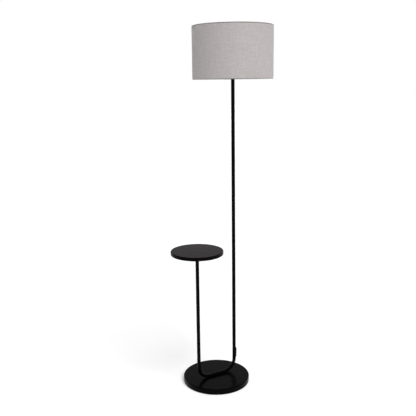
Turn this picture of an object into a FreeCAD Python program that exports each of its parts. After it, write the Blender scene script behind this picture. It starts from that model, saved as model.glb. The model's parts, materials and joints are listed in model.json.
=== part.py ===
import FreeCAD, Part
import math
import os

from FreeCAD import Vector

os.makedirs("parts", exist_ok=True)

# Floor lamp with a small table, in millimetres. The origin is on the floor at the centre of the
# round base, +Z is up, and the bent tube stands along X: table at -X, post and shade at +X.

# ---- base ------------------------------------------------------------------
base_radius = 152.5
base_height = 25.0           # floor to the top of the cover
cover_wall = 1.5
cover_edge_radius = 6.0      # rounded shoulder of the cover
cover_floor_gap = 1.0        # the cover's rim clears the floor
pad_thickness = 2.0
pad_edge_gap = 1.0           # pad to the inside of the cover
weight_edge_gap = 1.2        # weight to the inside of the cover
weight_seat_gap = 0.2        # weight to the pressed seat above it

# ---- bent tube -------------------------------------------------------------
tube_radius = 8.0
tube_wall = 1.2
tube_end_chamfer = 0.4
bend_radius = 56.0           # on the tube's centreline
table_leg_x = -95.0
leg_spacing = 190.0
tube_plane_y = -6.0          # the tube stands a little in front of the base's centre
seat_depth = 3.0             # how deep the run is let into the cover
seat_gap = 0.15

# ---- bolts that hold the tube on the base ----------------------------------
foot_bolt_spacing = 60.0
foot_bolt_radius = 3.0
foot_bolt_head_radius = 5.0
foot_bolt_head_height = 4.0
foot_bolt_drive = 5.0        # across the flats of the hexagon socket
foot_bolt_drive_depth = 2.0
foot_washer_radius = 9.0
foot_washer_thickness = 1.6
foot_recess_radius = 10.5
foot_recess_depth = 8.0      # from the weight's underside to the washer's seat
foot_bush_radius = 4.5
foot_bush_height = 12.0
foot_bolt_end_gap = 2.0      # bolt's end below the bush's top
bolt_hole_gap = 0.4          # a bolt in a plain hole
thread_gap = 0.05            # a thread in its nut, drawn plain
weld_gap = 0.05              # a plug or bush in its tube

# ---- table -----------------------------------------------------------------
table_radius = 117.0
table_thickness = 16.0
table_top_z = 642.0
table_edge_radius = 2.5
flange_radius = 42.0
flange_thickness = 3.0
flange_edge_radius = 1.0
table_plug_length = 20.0
table_bolt_radius = 4.0
table_bolt_length = 17.0
table_bolt_head_radius = 7.0
table_bolt_head_height = 4.0
table_bolt_head_round = 2.0
table_bolt_drive = 5.0       # across the flats of the hexagon socket
table_bolt_drive_depth = 2.0
table_bolt_pocket_gap = 2.0
table_screw_count = 4
table_screw_circle = 30.0    # radius of the screws' circle
table_screw_radius = 2.0
table_screw_length = 15.0
table_screw_head_radius = 4.0
table_screw_head_height = 2.4
table_screw_head_round = 1.8
table_screw_end_gap = 1.0

# ---- post ------------------------------------------------------------------
post_joint_z = 1050.0
post_top_z = 1385.0
plug_length = 20.0
nipple_radius = 5.0
nipple_bore_radius = 3.6
nipple_reach = 15.0          # into each plug

# ---- cord gland and the lead inside the post -------------------------------
gland_above_bend = 5.0       # gland's mouth above the end of the bend
gland_lower_length = 16.0    # from the mouth to the waist
gland_upper_length = 32.0    # from the waist to the top
gland_upper_proud = 4.8      # out from the tube
gland_lower_proud = 4.2
gland_upper_radius = 5.0
gland_lower_radius = 4.3
gland_lobe_overlap = 7.5     # how far the lower lobe runs up inside the upper one
gland_seat_gap = 0.05
slot_width = 6.0
slot_bottom_above_mouth = 12.0
slot_length = 23.0
slot_tongue_gap = 0.1
slot_tongue_root = 2.1       # tongue's root inside the gland, out from the tube
lead_thickness = 3.2         # flat two-core lead
lead_width = 5.2
lead_gap = 0.1               # lead in the gland
lead_tube_gap = 0.3          # lead off the outside of the tube at the mouth
lead_mouth_recess = 6.0      # lead's end inside the gland's mouth
lead_bend_start = 15.0       # above the mouth
lead_shift_height = 28.0     # height in which the lead crosses into the tube
lead_bend_radius = 35.0

# ---- lampholder ------------------------------------------------------------
top_washer_radius = 11.0
top_washer_thickness = 3.0
top_washer_edge_radius = 1.0
holder_cap_height = 18.0
holder_cap_foot_radius = 11.0
holder_cap_wall = 2.2
holder_cap_floor = 3.0
holder_cap_dome = 11.0       # height over which the cap widens
holder_radius = 19.5
holder_land_radius = 20.0    # plain land that the shade's ring turns on
holder_below_shoulder = 15.0
holder_shoulder_radius = 24.0
holder_shoulder_thickness = 3.0
holder_above_land = 25.0
holder_thread_depth = 0.6
holder_thread_pitch = 2.5
holder_rim_gap = 2.0         # shell's top below the holder's rim
nut_across_flats = 14.0
nut_thickness = 3.0
nipple_above_nut = 2.0
shell_bore_radius = 13.35
shell_wall = 0.8
shell_gap = 0.1
shell_height = 22.0
block_radius = 13.6
block_gap = 0.1
block_bottom_gap = 2.0       # above the cap's rim
block_height = 15.0
core_hole_radius = 1.3
contact_width = 5.0
contact_length = 16.0
contact_thickness = 0.8
contact_rise = 1.2
terminal_offset = 8.0
terminal_radius = 2.2
terminal_height = 4.0
terminal_head_height = 2.0
terminal_head_round = 0.9
core_radius = 0.9
core_spacing = 1.2           # half the distance between the cores in the lead
core_bend_radius = 1.8

# ---- push switch -----------------------------------------------------------
switch_bar_radius = 2.5
switch_bar_length = 52.0
switch_travel = 6.0
switch_bar_gap = 0.06
switch_above_cap = 8.0
switch_tip_radius = 1.0

# ---- shade -----------------------------------------------------------------
shade_radius = 175.0
shade_height = 223.5
shade_recess = 43.0          # centre ring above the shade's lower edge
fabric_thickness = 0.8
fabric_turn_in = 10.0        # height of the turned edge inside
fabric_edge_radius = 0.7
liner_thickness = 0.55
liner_gap = 0.15             # liner to fabric
liner_end_gap = 0.2
wire_radius = 1.75
wire_gap = 0.1               # ring to liner
wire_hem_gap = 0.3           # ring to the turned edge
arm_count = 3
arm_first_angle = 90.0
arm_knee_radius = 40.0       # distance from the axis where an arm starts to slope
arm_bend_radius = 20.0
arm_notch_gap = 1.5
arm_flat_gap = 0.6           # flat end of an arm past the rings above and below it
centre_ring_outer = 25.5
centre_ring_thickness = 1.8
centre_ring_gap = 0.1        # above and below the ring
centre_ring_bore_gap = 0.1
shade_ring_outer = 27.0
shade_ring_collar = 24.0
shade_ring_flange = 3.0
shade_ring_height = 9.0
shade_ring_bore_gap = 0.1
shade_ring_grips = 18
shade_ring_grip_radius = 1.2

# ---- bulb ------------------------------------------------------------------
bulb_cap_radius = 13.2
bulb_cap_height = 22.0
bulb_thread_depth = 0.8
bulb_thread_pitch = 3.6
bulb_contact_radius = 5.0
bulb_contact_height = 2.0
bulb_neck_radius = 13.5
bulb_body_height = 36.0
bulb_body_swell = 0.4        # share of the body's widening that is reached at half its height
bulb_globe_radius = 30.0
bulb_globe_wall = 1.5
bulb_globe_cut = 18.0        # globe's centre above the body's top
bulb_board_thickness = 1.6
bulb_board_gap = 0.3

# ---- places worked out from the sizes above --------------------------------
post_x = table_leg_x + leg_spacing
run_z = base_height + tube_radius - seat_depth
run_x = table_leg_x + leg_spacing / 2
bend_top_z = run_z + bend_radius
tube_bore = tube_radius - tube_wall
flange_bottom_z = table_top_z - table_thickness - flange_thickness
gland_mouth_z = bend_top_z + gland_above_bend
gland_waist_z = gland_mouth_z + gland_lower_length
gland_top_z = gland_waist_z + gland_upper_length
slot_bottom_z = gland_mouth_z + slot_bottom_above_mouth
holder_z = post_top_z + top_washer_thickness
nipple_top_z = holder_z + holder_cap_floor + nut_thickness + nipple_above_nut
body_z = holder_z + holder_cap_height
shoulder_z = body_z + holder_below_shoulder
ring_seat_z = shoulder_z + holder_shoulder_thickness
land_height = centre_ring_thickness + 2 * centre_ring_gap
ring_top_z = ring_seat_z + land_height
holder_top_z = ring_top_z + holder_above_land
switch_z = body_z + switch_above_cap
centre_ring_z = ring_seat_z + centre_ring_gap
arm_z = centre_ring_z + centre_ring_thickness / 2
shade_bottom_z = arm_z - shade_recess
shade_top_z = shade_bottom_z + shade_height
liner_outer = shade_radius - fabric_thickness - liner_gap
liner_inner = liner_outer - liner_thickness
wire_circle = liner_inner - wire_gap - wire_radius
hem_outer = wire_circle - wire_radius - wire_hem_gap
lower_wire_z = shade_bottom_z + fabric_thickness + wire_hem_gap + wire_radius
upper_wire_z = shade_top_z - fabric_thickness - wire_hem_gap - wire_radius
shell_top_z = holder_top_z - holder_rim_gap
shell_bottom_z = shell_top_z - shell_height
block_z = body_z + block_bottom_gap
block_top_z = block_z + block_height
contact_top_z = block_top_z + contact_thickness + contact_rise
bulb_cap_z = contact_top_z + bulb_contact_height
bulb_body_z = bulb_cap_z + bulb_cap_height
bulb_globe_z = bulb_body_z + bulb_body_height
bulb_globe_bore = bulb_globe_radius - bulb_globe_wall
bulb_board_radius = math.sqrt(bulb_globe_bore ** 2 - bulb_globe_cut ** 2) - bulb_board_gap
past = 1.0                   # how far a cutting solid runs past the face it cuts


# ---- helpers ---------------------------------------------------------------
def cylinder(radius, low, high, x=0.0, y=0.0):
    """Upright cylinder from height low to height high."""
    return Part.makeCylinder(radius, high - low, Vector(x, y, low))


def ring(outer, inner, low, high, x=0.0, y=0.0):
    """Upright cylinder with a bore right through it."""
    return cylinder(outer, low, high, x, y).cut(cylinder(inner, low - past, high + past, x, y))


def profile_wire(steps):
    """Closed outline in the XZ plane. A step is an (x, z) corner, or an arc as (x, z, mid_x, mid_z)."""
    edges = []
    here = Vector(steps[0][0], 0, steps[0][1])
    for step in steps[1:] + steps[:1]:
        there = Vector(step[0], 0, step[1])
        if len(step) == 4:
            edges.append(Part.Arc(here, Vector(step[2], 0, step[3]), there).toShape())
        elif (there - here).Length > 1e-6:
            edges.append(Part.LineSegment(here, there).toShape())
        here = there
    return Part.Wire(edges)


def turned(steps, x=0.0, y=0.0):
    """Solid of revolution about an upright axis, from an outline of (radius, z) steps."""
    face = Part.Face(profile_wire(steps))
    solid = face.revolve(Vector(0, 0, 0), Vector(0, 0, 1), 360)
    solid.translate(Vector(x, y, 0))
    return solid


def corner(x, z, radius, x_side, z_side):
    """Middle point of a quarter round whose sharp corner is (x, z), with the solid towards the sides."""
    inset = radius * (1 - math.sqrt(0.5))
    return x + x_side * inset, z + z_side * inset


def rounded_disc(radius, low, high, top_round, bottom_round, x=0.0, y=0.0):
    """Disc whose top and bottom edges are quarter rounds; a round of 0 stays sharp."""
    steps = [(0, low)]
    if bottom_round > 0:
        steps.append((radius - bottom_round, low))
        steps.append((radius, low + bottom_round) + corner(radius, low, bottom_round, -1, 1))
    else:
        steps.append((radius, low))
    if top_round > 0:
        steps.append((radius, high - top_round))
        steps.append((radius - top_round, high) + corner(radius, high, top_round, -1, -1))
    else:
        steps.append((radius, high))
    steps.append((0, high))
    return turned(steps, x, y)


def swept(path, profile):
    """Solid made by carrying a closed profile along a path."""
    return Part.Wire(path).makePipeShell([profile], True, False)


def circle_wire(radius, centre, direction):
    """Round profile for a sweep."""
    return Part.Wire([Part.Circle(centre, direction, radius).toShape()])


def smooth_path(points, radii):
    """Straight runs between points, joined by tangent arcs of the radii given for the inner points."""
    edges = []
    start = points[0]
    for before, here, after, radius in zip(points, points[1:], points[2:], radii):
        back = (before - here).normalize()
        ahead = (after - here).normalize()
        half_turn = (math.pi - back.getAngle(ahead)) / 2
        reach = radius * math.tan(half_turn)
        first = here + back * reach
        last = here + ahead * reach
        inward = (back + ahead).normalize()
        middle = here + inward * (radius / math.cos(half_turn) - radius)
        edges.append(Part.LineSegment(start, first).toShape())
        edges.append(Part.Arc(first, middle, last).toShape())
        start = last
    edges.append(Part.LineSegment(start, points[-1]).toShape())
    return edges


def hexagon(across_flats, low, high, x, y):
    """Upright hexagonal prism."""
    reach = across_flats / 2 / math.cos(math.pi / 6)
    corners = [
        Vector(x + reach * math.cos(math.pi / 3 * i), y + reach * math.sin(math.pi / 3 * i), low)
        for i in range(6)
    ]
    return Part.Face(Part.makePolygon(corners + corners[:1])).extrude(Vector(0, 0, high - low))


def around(shape, count, first_angle, x, y):
    """Copies of a shape spaced evenly about an upright axis."""
    copies = []
    for i in range(count):
        copy = shape.copy()
        copy.rotate(Vector(x, y, 0), Vector(0, 0, 1), first_angle + 360 / count * i)
        copies.append(copy)
    return copies


def cut_all(shape, tools):
    """Takes each tool away from the shape."""
    for tool in tools:
        shape = shape.cut(tool)
    return shape


def thread_ridges(steps_radius, depth, pitch, low, high):
    """Outline steps up the side of a threaded part, as even rounded ridges."""
    count = max(1, int((high - low) / pitch))
    start = high - count * pitch
    steps = []
    for i in range(count):
        bottom = start + i * pitch
        steps.append((steps_radius - depth, bottom))
        steps.append((steps_radius - depth, bottom + pitch, steps_radius, bottom + pitch / 2))
    return steps


# ---- bent tube and base ----------------------------------------------------
def tube_path():
    """Centreline of the bent tube, from the table leg's top to the post joint."""
    points = [
        Vector(table_leg_x, tube_plane_y, flange_bottom_z),
        Vector(table_leg_x, tube_plane_y, run_z),
        Vector(post_x, tube_plane_y, run_z),
        Vector(post_x, tube_plane_y, post_joint_z),
    ]
    return smooth_path(points, [bend_radius, bend_radius])


def along_tube(radius):
    """Solid rod that follows the whole bent tube."""
    start = Vector(table_leg_x, tube_plane_y, flange_bottom_z)
    return swept(tube_path(), circle_wire(radius, start, Vector(0, 0, -1)))


def end_chamfer(x, y, end_z, inward):
    """Ring that takes the sharp outer edge off a tube's end; inward is the z side the tube is on."""
    steps = [
        (tube_radius - tube_end_chamfer, end_z),
        (tube_radius + past, end_z),
        (tube_radius + past, end_z + inward * tube_end_chamfer),
        (tube_radius, end_z + inward * tube_end_chamfer),
    ]
    return turned(steps, x, y)


def foot_places():
    """X of each bolt that holds the tube's run."""
    return [run_x - foot_bolt_spacing / 2, run_x + foot_bolt_spacing / 2]


def lead_slot(width, low, high, inner, outer):
    """Upright slot with round ends through the post's outer side, from inner to outer radius."""
    half = width / 2
    depth = outer - inner
    corner_at = Vector(post_x + inner, tube_plane_y - half, low + half)
    slot = Part.makeBox(depth, width, high - low - width, corner_at)
    for z in (low + half, high - half):
        end = Part.makeCylinder(half, depth, Vector(post_x + inner, tube_plane_y, z), Vector(1, 0, 0))
        slot = slot.fuse(end)
    return slot.removeSplitter()


def make_u_tube():
    tube = along_tube(tube_radius).cut(along_tube(tube_bore))
    for x in foot_places():
        hole = cylinder(foot_bush_radius + weld_gap, run_z - tube_radius - past, run_z, x, tube_plane_y)
        tube = tube.cut(hole)
    slot_top_z = slot_bottom_z + slot_length
    tube = tube.cut(lead_slot(slot_width, slot_bottom_z, slot_top_z, 0, tube_radius + past))
    return tube.cut(end_chamfer(post_x, tube_plane_y, post_joint_z, -1))


def make_base_cover():
    cover = rounded_disc(base_radius, cover_floor_gap, base_height, cover_edge_radius, 0)
    inner_round = max(cover_edge_radius - cover_wall, 0)
    inner_top = base_height - cover_wall
    cavity = rounded_disc(base_radius - cover_wall, cover_floor_gap - past, inner_top, inner_round, 0)
    seat_radius = tube_radius + seat_gap
    cavity = cavity.cut(along_tube(seat_radius + cover_wall))
    cover = cover.cut(along_tube(seat_radius)).cut(cavity)
    for x in foot_places():
        cover = cover.cut(cylinder(foot_bolt_radius + bolt_hole_gap, 0, run_z, x, tube_plane_y))
    return cover


def make_base_weight():
    radius = base_radius - cover_wall - weight_edge_gap
    top = base_height - cover_wall
    weight = rounded_disc(radius, pad_thickness, top, cover_edge_radius, 0)
    weight = weight.cut(along_tube(tube_radius + seat_gap + cover_wall + weight_seat_gap))
    for x in foot_places():
        recess_top = pad_thickness + foot_recess_depth
        weight = weight.cut(cylinder(foot_bolt_radius + bolt_hole_gap, 0, run_z, x, tube_plane_y))
        weight = weight.cut(cylinder(foot_recess_radius, 0, recess_top, x, tube_plane_y))
    return weight


def make_base_pad():
    return cylinder(base_radius - cover_wall - pad_edge_gap, 0, pad_thickness)


def make_foot_bolts():
    washer_z = pad_thickness + foot_recess_depth - foot_washer_thickness
    bolt_top = run_z - tube_radius + foot_bush_height - foot_bolt_end_gap
    bolts = []
    for x in foot_places():
        head_z = washer_z - foot_bolt_head_height
        head = cylinder(foot_bolt_head_radius, head_z, washer_z, x, tube_plane_y)
        drive = hexagon(foot_bolt_drive, 0, head_z + foot_bolt_drive_depth, x, tube_plane_y)
        head = head.cut(drive)
        shank = cylinder(foot_bolt_radius, washer_z, bolt_top, x, tube_plane_y)
        bolts.append(head.fuse(shank).removeSplitter())
    return Part.makeCompound(bolts)


def make_foot_washers():
    top = pad_thickness + foot_recess_depth
    inner = foot_bolt_radius + bolt_hole_gap
    washers = [
        ring(foot_washer_radius, inner, top - foot_washer_thickness, top, x, tube_plane_y)
        for x in foot_places()
    ]
    return Part.makeCompound(washers)


def make_foot_bushes():
    low = run_z - tube_radius
    half = foot_bolt_spacing / 2 + foot_bush_radius + past
    start = Vector(run_x - half, tube_plane_y, run_z)
    tube_outside = Part.makeCylinder(tube_radius, 2 * half, start, Vector(1, 0, 0))
    bushes = []
    for x in foot_places():
        bush = ring(
            foot_bush_radius, foot_bolt_radius + thread_gap, low, low + foot_bush_height, x, tube_plane_y
        )
        bushes.append(bush.common(tube_outside))
    return Part.makeCompound([solid for bush in bushes for solid in bush.Solids])


# ---- table -----------------------------------------------------------------
def table_screw_places():
    """X and Y of each screw under the table, between the X and Y axes."""
    places = []
    for i in range(table_screw_count):
        angle = 2 * math.pi * (i + 0.5) / table_screw_count
        x = table_leg_x + table_screw_circle * math.cos(angle)
        places.append((x, tube_plane_y + table_screw_circle * math.sin(angle)))
    return places


def make_table_plug():
    low = flange_bottom_z - table_plug_length
    bore = table_bolt_radius + thread_gap
    return ring(tube_bore - weld_gap, bore, low, flange_bottom_z, table_leg_x, tube_plane_y)


def make_table_flange():
    top = flange_bottom_z + flange_thickness
    disc = rounded_disc(
        flange_radius, flange_bottom_z, top, 0, flange_edge_radius, table_leg_x, tube_plane_y
    )
    low = flange_bottom_z - past
    hole = table_bolt_radius + bolt_hole_gap
    disc = disc.cut(cylinder(hole, low, top + past, table_leg_x, tube_plane_y))
    for x, y in table_screw_places():
        disc = disc.cut(cylinder(table_screw_radius + bolt_hole_gap, low, top + past, x, y))
    return disc


def make_table_bolt():
    seat = flange_bottom_z + flange_thickness
    head_top = seat + table_bolt_head_height
    head = rounded_disc(
        table_bolt_head_radius, seat, head_top, table_bolt_head_round, 0, table_leg_x, tube_plane_y
    )
    shank = cylinder(table_bolt_radius, seat - table_bolt_length, seat, table_leg_x, tube_plane_y)
    drive = hexagon(
        table_bolt_drive, head_top - table_bolt_drive_depth, head_top + past, table_leg_x, tube_plane_y
    )
    return head.fuse(shank).removeSplitter().cut(drive)


def make_table_screws():
    screws = []
    for x, y in table_screw_places():
        head_low = flange_bottom_z - table_screw_head_height
        head = rounded_disc(
            table_screw_head_radius, head_low, flange_bottom_z, 0, table_screw_head_round, x, y
        )
        shank = cylinder(table_screw_radius, flange_bottom_z, flange_bottom_z + table_screw_length, x, y)
        screws.append(head.fuse(shank).removeSplitter())
    return Part.makeCompound(screws)


def make_table_top():
    low = table_top_z - table_thickness
    top = rounded_disc(
        table_radius, low, table_top_z, table_edge_radius, table_edge_radius, table_leg_x, tube_plane_y
    )
    pocket_radius = table_bolt_head_radius + table_bolt_pocket_gap
    pocket_top = low + table_bolt_head_height + table_bolt_pocket_gap
    top = top.cut(cylinder(pocket_radius, low - past, pocket_top, table_leg_x, tube_plane_y))
    hole_top = flange_bottom_z + table_screw_length + table_screw_end_gap
    for x, y in table_screw_places():
        top = top.cut(cylinder(table_screw_radius + thread_gap, low - past, hole_top, x, y))
    return top


# ---- post ------------------------------------------------------------------
def make_tube_plugs():
    lows = [post_joint_z - plug_length, post_joint_z, post_top_z - plug_length]
    plugs = [
        ring(tube_bore - weld_gap, nipple_radius + thread_gap, low, low + plug_length, post_x, tube_plane_y)
        for low in lows
    ]
    return Part.makeCompound(plugs)


def make_post_nipple():
    low = post_joint_z - nipple_reach
    return ring(nipple_radius, nipple_bore_radius, low, post_joint_z + nipple_reach, post_x, tube_plane_y)


def make_post_upper():
    tube = ring(tube_radius, tube_bore, post_joint_z, post_top_z, post_x, tube_plane_y)
    tube = tube.cut(end_chamfer(post_x, tube_plane_y, post_joint_z, 1))
    return tube.cut(end_chamfer(post_x, tube_plane_y, post_top_z, -1))


# ---- cord gland and lead ---------------------------------------------------
def lead_path(start_z):
    """Centreline of the lead from height start_z: up the gland, across into the tube, up the post."""
    outside = post_x + tube_radius + lead_tube_gap + lead_thickness / 2
    bend_z = gland_mouth_z + lead_bend_start
    points = [
        Vector(outside, tube_plane_y, start_z),
        Vector(outside, tube_plane_y, bend_z),
        Vector(post_x, tube_plane_y, bend_z + lead_shift_height),
        Vector(post_x, tube_plane_y, nipple_top_z),
    ]
    return smooth_path(points, [lead_bend_radius, lead_bend_radius])


def lead_solid(start_z, gap):
    """The flat lead from height start_z, or with a gap the space that it takes up."""
    half_thick = lead_thickness / 2 + gap
    half_flat = (lead_width - lead_thickness) / 2
    x = post_x + tube_radius + lead_tube_gap + lead_thickness / 2
    y = tube_plane_y
    z = start_z
    low_left = Vector(x - half_thick, y - half_flat, z)
    low_right = Vector(x + half_thick, y - half_flat, z)
    high_left = Vector(x - half_thick, y + half_flat, z)
    high_right = Vector(x + half_thick, y + half_flat, z)
    edges = [
        Part.Arc(low_left, Vector(x, y - half_flat - half_thick, z), low_right).toShape(),
        Part.LineSegment(low_right, high_right).toShape(),
        Part.Arc(high_right, Vector(x, y + half_flat + half_thick, z), high_left).toShape(),
        Part.LineSegment(high_left, low_left).toShape(),
    ]
    return swept(lead_path(start_z), Part.Wire(edges))


def make_supply_lead():
    return lead_solid(gland_mouth_z + lead_mouth_recess, 0)


def pill(radius, reach, low, high):
    """Upright rod with round ends whose outermost line is reach from the post's axis."""
    quarter = radius * math.sqrt(0.5)
    steps = [
        (0, low),
        (radius, low + radius, quarter, low + radius - quarter),
        (radius, high - radius),
        (0, high, quarter, high - radius + quarter),
    ]
    return turned(steps, post_x + reach - radius, tube_plane_y)


def make_cord_gland():
    upper_reach = tube_radius + gland_upper_proud
    upper = pill(gland_upper_radius, upper_reach, gland_waist_z, gland_top_z)
    lower_x = post_x + tube_radius + gland_lower_proud - gland_lower_radius
    lower_top = gland_waist_z + gland_lobe_overlap
    lower = cylinder(gland_lower_radius, gland_mouth_z, lower_top, lower_x, tube_plane_y)
    gland = upper.fuse(lower)
    tube_space = cylinder(
        tube_radius + gland_seat_gap, gland_mouth_z - past, gland_top_z + past, post_x, tube_plane_y
    )
    gland = gland.cut(tube_space)
    tongue = lead_slot(
        slot_width - 2 * slot_tongue_gap,
        slot_bottom_z + slot_tongue_gap,
        slot_bottom_z + slot_length - slot_tongue_gap,
        tube_bore,
        tube_radius + slot_tongue_root,
    )
    gland = gland.fuse(tongue).removeSplitter()
    return gland.cut(lead_solid(gland_mouth_z - past, lead_gap))


# ---- lampholder ------------------------------------------------------------
def make_top_washer():
    hole = nipple_radius + bolt_hole_gap
    disc = rounded_disc(
        top_washer_radius, post_top_z, holder_z, top_washer_edge_radius, top_washer_edge_radius,
        post_x, tube_plane_y,
    )
    return disc.cut(cylinder(hole, post_top_z - past, holder_z + past, post_x, tube_plane_y))


def make_holder_nipple():
    low = post_top_z - nipple_reach
    return ring(nipple_radius, nipple_bore_radius, low, nipple_top_z, post_x, tube_plane_y)


def make_nipple_nut():
    low = holder_z + holder_cap_floor
    nut = hexagon(nut_across_flats, low, low + nut_thickness, post_x, tube_plane_y)
    bore = nipple_radius + thread_gap
    return nut.cut(cylinder(bore, low - past, low + nut_thickness + past, post_x, tube_plane_y))


def make_holder_cap():
    widening = holder_radius - holder_cap_foot_radius
    dome_z = holder_z + holder_cap_dome
    bulge = math.sqrt(0.5)
    middle = (holder_cap_foot_radius + widening * bulge, dome_z - holder_cap_dome * bulge)
    outer = [
        (0, holder_z),
        (holder_cap_foot_radius, holder_z),
        (holder_radius, dome_z) + middle,
        (holder_radius, body_z),
        (0, body_z),
    ]
    inner_radius = holder_radius - holder_cap_wall
    inner_foot = nut_across_flats / 2 / math.cos(math.pi / 6) + weld_gap
    floor_z = holder_z + holder_cap_floor
    inner = [
        (0, floor_z),
        (inner_foot, floor_z),
        (inner_radius, dome_z),
        (inner_radius, body_z + past),
        (0, body_z + past),
    ]
    cap = turned(outer).cut(turned(inner))
    cap = cap.cut(cylinder(nipple_radius + bolt_hole_gap, holder_z - past, floor_z + past))
    cap.translate(Vector(post_x, tube_plane_y, 0))
    return cap


def bar_bore():
    """Running bore for the push bar, along Y through the lampholder."""
    reach = switch_bar_length + switch_travel
    start = Vector(post_x, tube_plane_y - reach, switch_z)
    return Part.makeCylinder(switch_bar_radius + switch_bar_gap, 2 * reach, start, Vector(0, 1, 0))


def make_holder_body():
    shell_space = shell_bore_radius + shell_wall + shell_gap
    block_space = block_radius + block_gap
    steps = [
        (block_space, body_z),
        (holder_radius, body_z),
        (holder_radius, shoulder_z),
        (holder_shoulder_radius, shoulder_z),
        (holder_shoulder_radius, ring_seat_z),
        (holder_land_radius, ring_seat_z),
        (holder_land_radius, ring_top_z),
        (holder_radius - holder_thread_depth, ring_top_z),
    ]
    steps += thread_ridges(
        holder_radius, holder_thread_depth, holder_thread_pitch, ring_top_z, holder_top_z
    )
    steps += [
        (shell_space, holder_top_z),
        (shell_space, shell_bottom_z),
        (block_space, shell_bottom_z),
    ]
    return turned(steps, post_x, tube_plane_y).cut(bar_bore())


def make_holder_shell():
    outer = shell_bore_radius + shell_wall
    return ring(outer, shell_bore_radius, shell_bottom_z, shell_top_z, post_x, tube_plane_y)


def make_contact_block():
    block = cylinder(block_radius, block_z, block_top_z, post_x, tube_plane_y).cut(bar_bore())
    for side in (-1, 1):
        x = post_x + side * terminal_offset
        block = block.cut(cylinder(core_hole_radius, block_z - past, block_top_z + past, x, tube_plane_y))
    return block


def make_centre_contact():
    half = contact_width / 2
    end = contact_length / 2
    top = block_top_z + contact_thickness
    steps = [
        (-end, block_top_z),
        (end, block_top_z),
        (end, top),
        (end / 2, top),
        (-end / 2, top + contact_rise),
        (-end / 2 - contact_thickness, top + contact_rise - contact_thickness / 2),
        (-end / 2 - contact_thickness, top),
        (-end, top),
    ]
    leaf = Part.Face(profile_wire(steps)).extrude(Vector(0, contact_width, 0))
    leaf.translate(Vector(post_x, tube_plane_y - half, 0))
    return leaf


def make_terminal_screws():
    screws = []
    for side in (-1, 1):
        x = post_x + side * terminal_offset
        low = block_z - terminal_head_height
        head = rounded_disc(terminal_radius, low, block_z, 0, terminal_head_round, x, tube_plane_y)
        shank = cylinder(core_hole_radius - weld_gap, block_z, block_z + terminal_height, x, tube_plane_y)
        screws.append(head.fuse(shank).removeSplitter())
    return Part.makeCompound(screws)


def make_wire_cores():
    cores = []
    low = nipple_top_z
    high = block_z - terminal_head_height
    for side in (-1, 1):
        start = Vector(post_x + side * core_spacing, tube_plane_y, low)
        end = Vector(post_x + side * terminal_offset, tube_plane_y, high)
        middle_z = (low + high) / 2
        knees = [
            Vector(start.x, tube_plane_y, middle_z - core_radius),
            Vector(end.x, tube_plane_y, middle_z + core_radius),
        ]
        path = smooth_path([start] + knees + [end], [core_bend_radius, core_bend_radius])
        cores.append(swept(path, circle_wire(core_radius, start, Vector(0, 0, 1))))
    return Part.makeCompound(cores)


def make_switch_bar():
    half = switch_bar_length / 2
    middle_y = tube_plane_y - switch_travel / 2
    bar = rounded_disc(switch_bar_radius, -half, half, switch_tip_radius, switch_tip_radius)
    bar.rotate(Vector(0, 0, 0), Vector(1, 0, 0), -90)
    bar.translate(Vector(post_x, middle_y, switch_z))
    return bar


def make_shade_ring():
    bore = holder_radius + shade_ring_bore_gap
    flange_top = ring_top_z + shade_ring_flange
    top = ring_top_z + shade_ring_height
    body = ring(shade_ring_outer, bore, ring_top_z, flange_top).fuse(
        ring(shade_ring_collar, bore, ring_top_z, top)
    )
    body = body.removeSplitter()
    grip = cylinder(shade_ring_grip_radius, ring_top_z - past, top + past, shade_ring_outer, 0)
    body = cut_all(body, around(grip, shade_ring_grips, 0, 0, 0))
    body.translate(Vector(post_x, tube_plane_y, 0))
    return body


# ---- shade -----------------------------------------------------------------
def make_shade_spider():
    ring_outer = centre_ring_outer
    bore = holder_land_radius + centre_ring_bore_gap
    spider = ring(ring_outer, bore, centre_ring_z, centre_ring_z + centre_ring_thickness)
    weld_in = (ring_outer + bore) / 2
    points = [
        Vector(weld_in, 0, arm_z),
        Vector(arm_knee_radius, 0, arm_z),
        Vector(wire_circle, 0, lower_wire_z),
    ]
    path = smooth_path(points, [arm_bend_radius])
    arm = swept(path, circle_wire(wire_radius, points[0], Vector(1, 0, 0)))
    half = centre_ring_thickness / 2
    flat_end = max(shade_ring_outer, holder_shoulder_radius) + arm_flat_gap
    arm = arm.cut(cylinder(flat_end, arm_z - half - wire_radius, arm_z - half))
    arm = arm.cut(cylinder(flat_end, arm_z + half, arm_z + half + wire_radius))
    for copy in around(arm, arm_count, arm_first_angle, 0, 0):
        spider = spider.fuse(copy)
    loop = Part.makeTorus(wire_circle, wire_radius, Vector(0, 0, lower_wire_z))
    spider = spider.fuse(loop).removeSplitter()
    spider.translate(Vector(post_x, tube_plane_y, 0))
    return spider


def make_shade_top_ring():
    return Part.makeTorus(wire_circle, wire_radius, Vector(post_x, tube_plane_y, upper_wire_z))


def make_shade_liner():
    low = shade_bottom_z + fabric_thickness + liner_end_gap
    high = shade_top_z - fabric_thickness - liner_end_gap
    return ring(liner_outer, liner_inner, low, high, post_x, tube_plane_y)


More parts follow.
